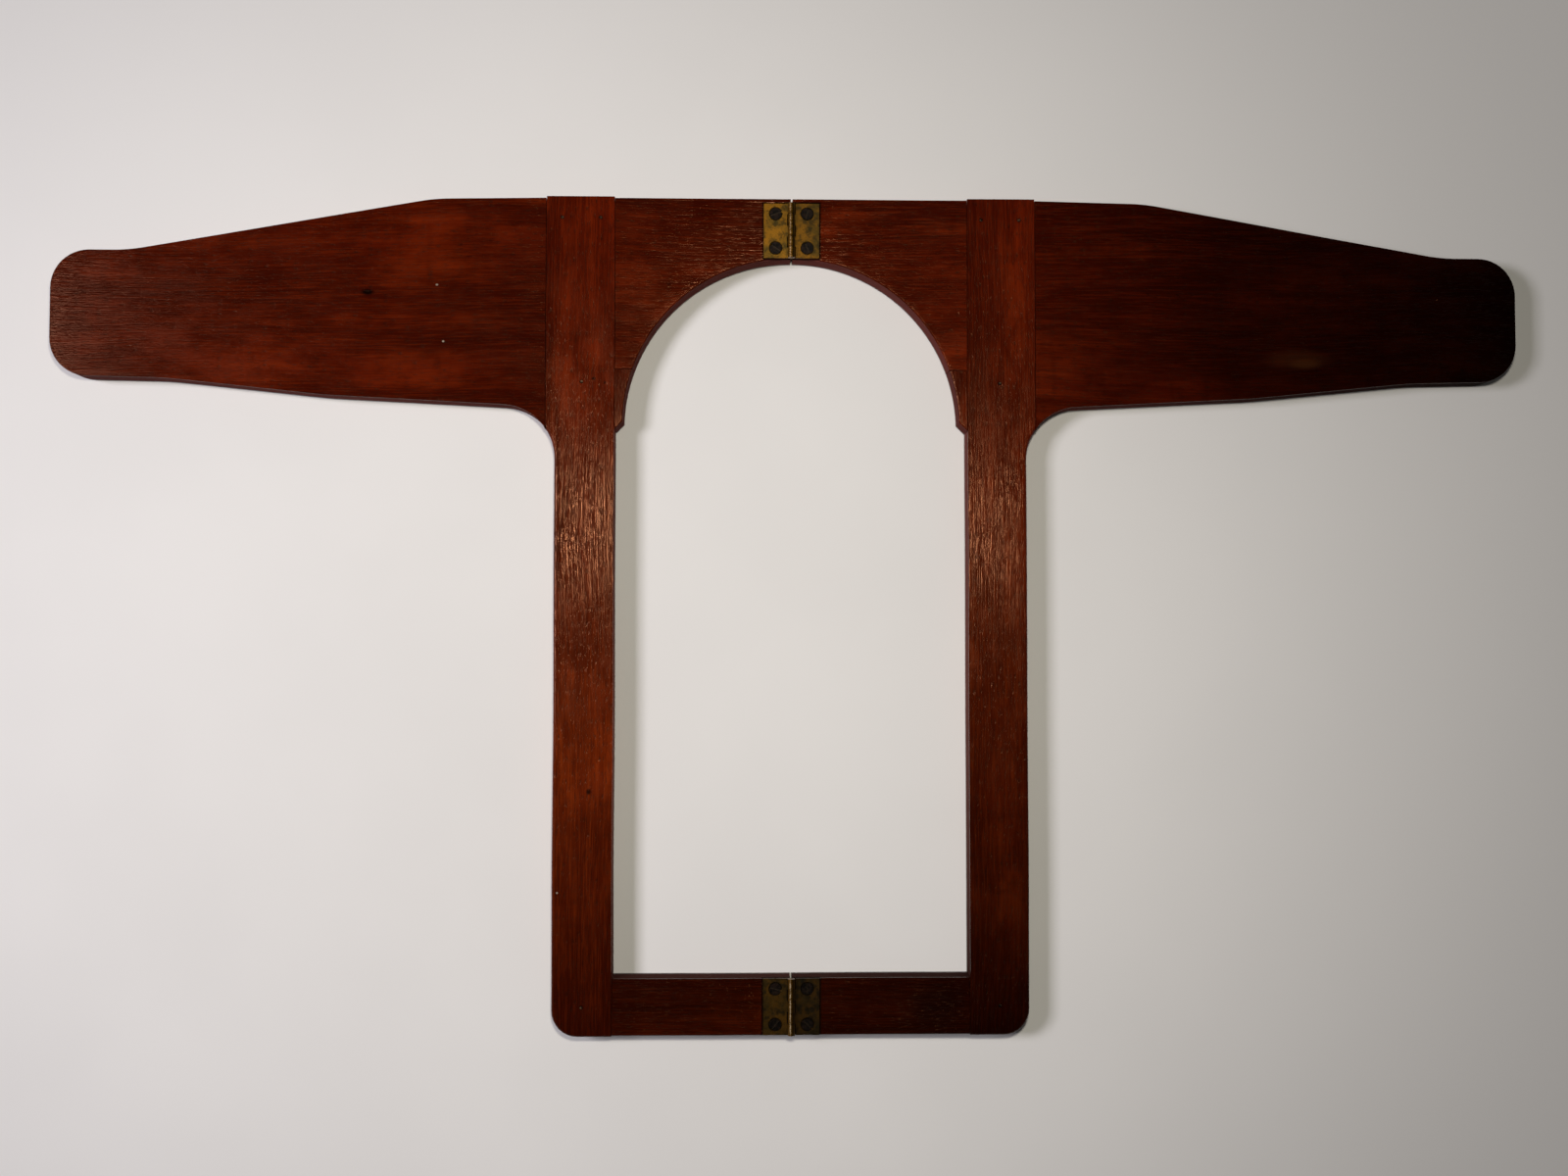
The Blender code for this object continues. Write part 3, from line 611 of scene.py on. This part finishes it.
class GARMENTFORM_OT_hinges(bpy.types.Operator):
    """Finish the leaves and pins of the two brass butt hinges"""

    bl_idname = "garment_form.hinges"
    bl_label = "Hinges"

    def execute(self, context):
        for place, by_side in HINGE_TONES_AND_SHADE.items():
            for side, tone_and_shade in by_side.items():
                node = f"{place}_hinge_{side}_leaf"
                shape = merged_copy(node)
                barrel = shape.verts.layers.float.new("barrel")
                for vert in shape.verts:
                    vert[barrel] = 1.0 if abs(vert.co.x) < BARREL_REACH else 0.0
                material = brass(f"{node}_brass", tone_and_shade, BRASS_SEEDS[side], BARREL_GLINT_STRENGTH[place])
                piece = finish_piece(shape, f"{node}_finished", node, side, material)
                bevel = piece.modifiers.new("worn_arris", "BEVEL")
                bevel.width = context.scene.garment_form_shape.leaf_arris
                bevel.segments = 2
                bevel.limit_method = "ANGLE"
                bevel.angle_limit = math.radians(40)
                weigh_normals(piece)
            pin = f"{place}_hinge_pin"
            material = brass(f"{pin}_brass", by_side["left"], BRASS_SEEDS["pin"])
            finish_piece(merged_copy(pin), f"{pin}_finished", pin, "left", material)
        return {"FINISHED"}


class GARMENTFORM_OT_screws(bpy.types.Operator):
    """Finish the countersunk screws, each with its slot where the driver left it"""

    bl_idname = "garment_form.screws"
    bl_label = "Screws"

    def execute(self, context):
        material = browned_steel("screw_steel", SCREW_RUST)
        places = itertools.product(("top", "bottom"), SIDES, ("upper", "lower"))
        for (place, side, row), degrees in zip(places, SLOT_TURNS):
            node = f"{place}_hinge_{side}_{row}_screw"
            low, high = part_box(node)
            shape = merged_copy(node)
            turn = Matrix.Rotation(math.radians(degrees), 3, "Z")
            bmesh.ops.rotate(shape, cent=(low + high) / 2, matrix=turn, verts=shape.verts)
            slot = shape.verts.layers.float.new("slot")
            for vert in shape.verts:
                vert[slot] = float(SLOT_DEPTH[0] < high.z - vert.co.z < SLOT_DEPTH[1])
            finish_piece(shape, f"{node}_finished", node, side, material)
        return {"FINISHED"}


class GARMENTFORM_OT_nails(bpy.types.Operator):
    """Finish the nails that pin the laps"""

    bl_idname = "garment_form.nails"
    bl_label = "Nails"

    def execute(self, context):
        # The nail heads are mottled a light tan.
        material = browned_steel("nail_steel", NAIL_TAN)
        for side in SIDES:
            for kind in ("yoke_nail", "sleeve_top_nail", "sleeve_foot_nail", "rail_nail"):
                node = f"{side}_{kind}"
                finish_piece(merged_copy(node), f"{node}_finished", node, side, material)
        return {"FINISHED"}


def paper(name):
    """Matt paper, darker in a ring away from its middle as painted shade where the light falls off, and glowing
    faintly far from the form.
    """
    stage = bpy.context.scene.garment_form_stage
    graph = Graph(name)
    place = graph.add("TexCoord").outputs["Object"]
    clouds = graph.noise(place, along=9.0, across=9.0, detail=3.0)
    colour = graph.mix(graph.ramp(clouds, 0.3, 0.7), [0.97 * c for c in stage.paper], stage.paper)
    away = graph.distance(place, SHEET_MIDDLE)
    # Painted shade: the sheet is darkened in a ring away from its middle, for the fall of the light towards its
    # edges.
    aged = graph.math("MULTIPLY", graph.ramp(away, 0.18, 0.56), graph.ramp(away, 0.56, 0.85, 1.0, 0.0))
    colour = graph.mix(aged, colour, [0.74 * c for c in stage.paper])
    graph.put(graph.shader, "Base Color", colour)
    graph.put(graph.shader, "Roughness", 0.9)
    graph.put(graph.shader, "Emission Color", colour)
    glow = graph.ramp(graph.distance(place, SHEET_GLOW_MIDDLE), 0.86, 1.6, 0.0, 0.28)
    graph.put(graph.shader, "Emission Strength", glow)
    return graph.material


def add_light(name, power, location, target, size, colour):
    data = bpy.data.lights.new(name, "AREA")
    data.energy = power
    data.color = colour
    data.size = size
    light = bpy.data.objects.new(name, data)
    light.visible_camera = False
    light.location = location
    light.rotation_euler = (Vector(target) - Vector(location)).to_track_quat("-Z", "Y").to_euler()
    bpy.context.scene.collection.objects.link(light)


def room(strength):
    """A room with a pale backdrop all round and a dim ceiling."""
    world = bpy.data.worlds.new("room")
    world.use_nodes = True
    nodes, links = world.node_tree.nodes, world.node_tree.links
    background = nodes["Background"]
    background.inputs["Color"].default_value = BACKDROP_COLOUR
    direction = nodes.new("ShaderNodeSeparateXYZ")
    links.new(nodes.new("ShaderNodeTexCoord").outputs["Generated"], direction.inputs[0])
    height = nodes.new("ShaderNodeMapRange")
    height.interpolation_type = "SMOOTHSTEP"
    links.new(direction.outputs["Z"], height.inputs["Value"])
    ends = {"From Min": 0.14, "From Max": 0.45, "To Min": strength, "To Max": 0.05 * strength}
    for name, value in ends.items():
        height.inputs[name].default_value = value
    links.new(height.outputs[0], background.inputs["Strength"])
    return world


class GARMENTFORM_OT_stage(bpy.types.Operator):
    """Lay the sheet, set the lights and hang the camera over the form"""

    bl_idname = "garment_form.stage"
    bl_label = "Stage"

    def execute(self, context):
        stage = context.scene.garment_form_stage
        shape = bmesh.new()
        bmesh.ops.create_grid(shape, x_segments=1, y_segments=1, size=SHEET_HALF)
        bmesh.ops.translate(shape, vec=(0, 0, BACK - TOUCH), verts=shape.verts)
        mesh = bpy.data.meshes.new("sheet")
        shape.to_mesh(mesh)
        shape.free()
        mesh.materials.append(paper("sheet_paper"))
        sheet = bpy.data.objects.new("sheet", mesh)
        context.scene.collection.objects.link(sheet)

        add_light("window", stage.key_power, **WINDOW)
        add_light("lamp", stage.lamp_power, **LAMP)
        context.scene.world = room(stage.sky_strength)

        data = bpy.data.cameras.new("camera")
        data.lens = stage.lens
        data.sensor_width = 36.0
        camera = bpy.data.objects.new("camera", data)
        place = Matrix.Translation((*CAMERA_PLACE, stage.camera_height))
        for axis, angle in CAMERA_LEAN.items():
            place @= Matrix.Rotation(angle, 4, axis)
        camera.matrix_world = place
        context.scene.collection.objects.link(camera)
        context.scene.camera = camera
        context.scene.view_settings.view_transform = "Standard"
        return {"FINISHED"}


class GARMENTFORM_PT_panel(bpy.types.Panel):
    bl_idname = "GARMENTFORM_PT_panel"
    bl_label = "Garment Form"
    bl_space_type = "VIEW_3D"
    bl_region_type = "UI"
    bl_category = "Garment Form"

    def draw(self, context):
        for operator in OPERATORS:
            self.layout.operator(operator.bl_idname)
        for group in PROPERTY_GROUPS:
            settings = getattr(context.scene, group)
            for name in settings.bl_rna.properties.keys():
                if name not in ("rna_type", "name"):
                    self.layout.prop(settings, name)


OPERATORS = (
    GARMENTFORM_OT_side_posts,
    GARMENTFORM_OT_yoke_boards,
    GARMENTFORM_OT_sleeve_boards,
    GARMENTFORM_OT_bottom_rails,
    GARMENTFORM_OT_arch_blocks,
    GARMENTFORM_OT_hinges,
    GARMENTFORM_OT_screws,
    GARMENTFORM_OT_nails,
    GARMENTFORM_OT_stage,
)
PROPERTY_GROUPS = {
    "garment_form_shape": GarmentFormShape,
    "garment_form_finish": GarmentFormFinish,
    "garment_form_stage": GarmentFormStage,
}


def register():
    for item in (*PROPERTY_GROUPS.values(), *OPERATORS, GARMENTFORM_PT_panel):
        bpy.utils.register_class(item)
    for name, group in PROPERTY_GROUPS.items():
        setattr(bpy.types.Scene, name, PointerProperty(type=group))


def unregister():
    for name in PROPERTY_GROUPS:
        delattr(bpy.types.Scene, name)
    for item in reversed((*PROPERTY_GROUPS.values(), *OPERATORS, GARMENTFORM_PT_panel)):
        bpy.utils.unregister_class(item)


def clear_startup():
    """Removes the startup file's own cube, lamp and camera."""
    for name in ("Cube", "Light", "Camera"):
        if name in bpy.data.objects:
            bpy.data.objects.remove(bpy.data.objects[name], do_unlink=True)


def main():
    clear_startup()
    register()
    for operator in OPERATORS:
        group, name = operator.bl_idname.split(".")
        getattr(getattr(bpy.ops, group), name)()


if __name__ == "__main__":
    main()
